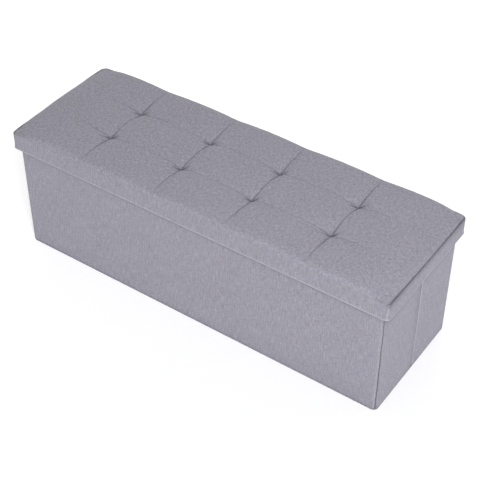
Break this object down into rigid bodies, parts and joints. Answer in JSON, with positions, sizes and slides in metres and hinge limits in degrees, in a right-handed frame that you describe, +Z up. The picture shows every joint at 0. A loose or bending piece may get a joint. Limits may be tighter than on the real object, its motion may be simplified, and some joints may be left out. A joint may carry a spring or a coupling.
{
  "type": "storage bench",
  "caption": "Long fabric storage bench with a tufted lift-off lid and creased end walls that fold inwards so the box collapses flat.",
  "frame": {"origin": "centre of the footprint, on the floor under the base", "axes": "+X along the bench, -Y towards the front, +Z up"},
  "size_m": [1.143, 0.381, 0.388],
  "materials": {
    "cloth": "matte",
    "lining": "matte",
    "board": "matte",
    "foam": "matte",
    "thread": "matte"
  },
  "bodies": {
    "box_back": {"back_cover": "cloth", "back_board": "board", "back_lining": "lining", "base_cover": "cloth", "base_board": "board", "base_lining": "lining"},
    "right_rear": {"right_rear_cover": "cloth", "right_rear_board": "board", "right_rear_lining": "lining"},
    "right_front": {"right_front_cover": "cloth", "right_front_board": "board", "right_front_lining": "lining"},
    "front_panel": {"front_cover": "cloth", "front_board": "board", "front_lining": "lining"},
    "left_front": {"left_front_cover": "cloth", "left_front_board": "board", "left_front_lining": "lining"},
    "left_rear": {"left_rear_cover": "cloth", "left_rear_board": "board", "left_rear_lining": "lining"},
    "lid": {"lid_board": "board", "seat_foam": "foam", "seat_cover": "cloth", "lid_lining": "lining", "skirt_strip_front": "board", "skirt_cover_front": "cloth", "skirt_strip_back": "board", "skirt_cover_back": "cloth", "skirt_strip_right": "board", "skirt_cover_right": "cloth", "skirt_strip_left": "board", "skirt_cover_left": "cloth", "tuft_tie_1": "thread", "tuft_tie_2": "thread", "tuft_tie_3": "thread", "tuft_tie_4": "thread", "tuft_tie_5": "thread", "tuft_tie_6": "thread", "tuft_tie_7": "thread", "tuft_tie_8": "thread"}
  },
  "joints": [
    {"name": "lid_lift", "type": "slide", "parent": "box_back", "child": "lid", "axis": [0, 0, 1], "range_m": [0, 0.4]},
    {"name": "right_rear_fold", "type": "hinge", "parent": "box_back", "child": "right_rear", "pos_m": [0.552, 0.1707, 0.18], "axis": [0, 0, -1], "range_deg": [0, 88]},
    {"name": "right_crease_fold", "type": "hinge", "parent": "right_rear", "child": "right_front", "pos_m": [0.56, 0, 0.18], "axis": [0, 0, 1], "range_deg": [0, 177]},
    {"name": "right_front_fold", "type": "hinge", "parent": "right_front", "child": "front_panel", "pos_m": [0.552, -0.1707, 0.18], "axis": [0, 0, -1], "range_deg": [0, 89]},
    {"name": "left_front_fold", "type": "hinge", "parent": "front_panel", "child": "left_front", "pos_m": [-0.552, -0.1707, 0.18], "axis": [0, 0, -1], "range_deg": [0, 89]},
    {"name": "left_crease_fold", "type": "hinge", "parent": "left_front", "child": "left_rear", "pos_m": [-0.56, 0, 0.18], "axis": [0, 0, 1], "range_deg": [0, 177]}
  ],
  "couplings": [
    {"joint": "right_crease_fold", "follows": "right_rear_fold", "ratio": 2},
    {"joint": "right_front_fold", "follows": "right_rear_fold", "ratio": 1},
    {"joint": "left_front_fold", "follows": "right_rear_fold", "ratio": 1},
    {"joint": "left_crease_fold", "follows": "right_rear_fold", "ratio": 2}
  ]
}
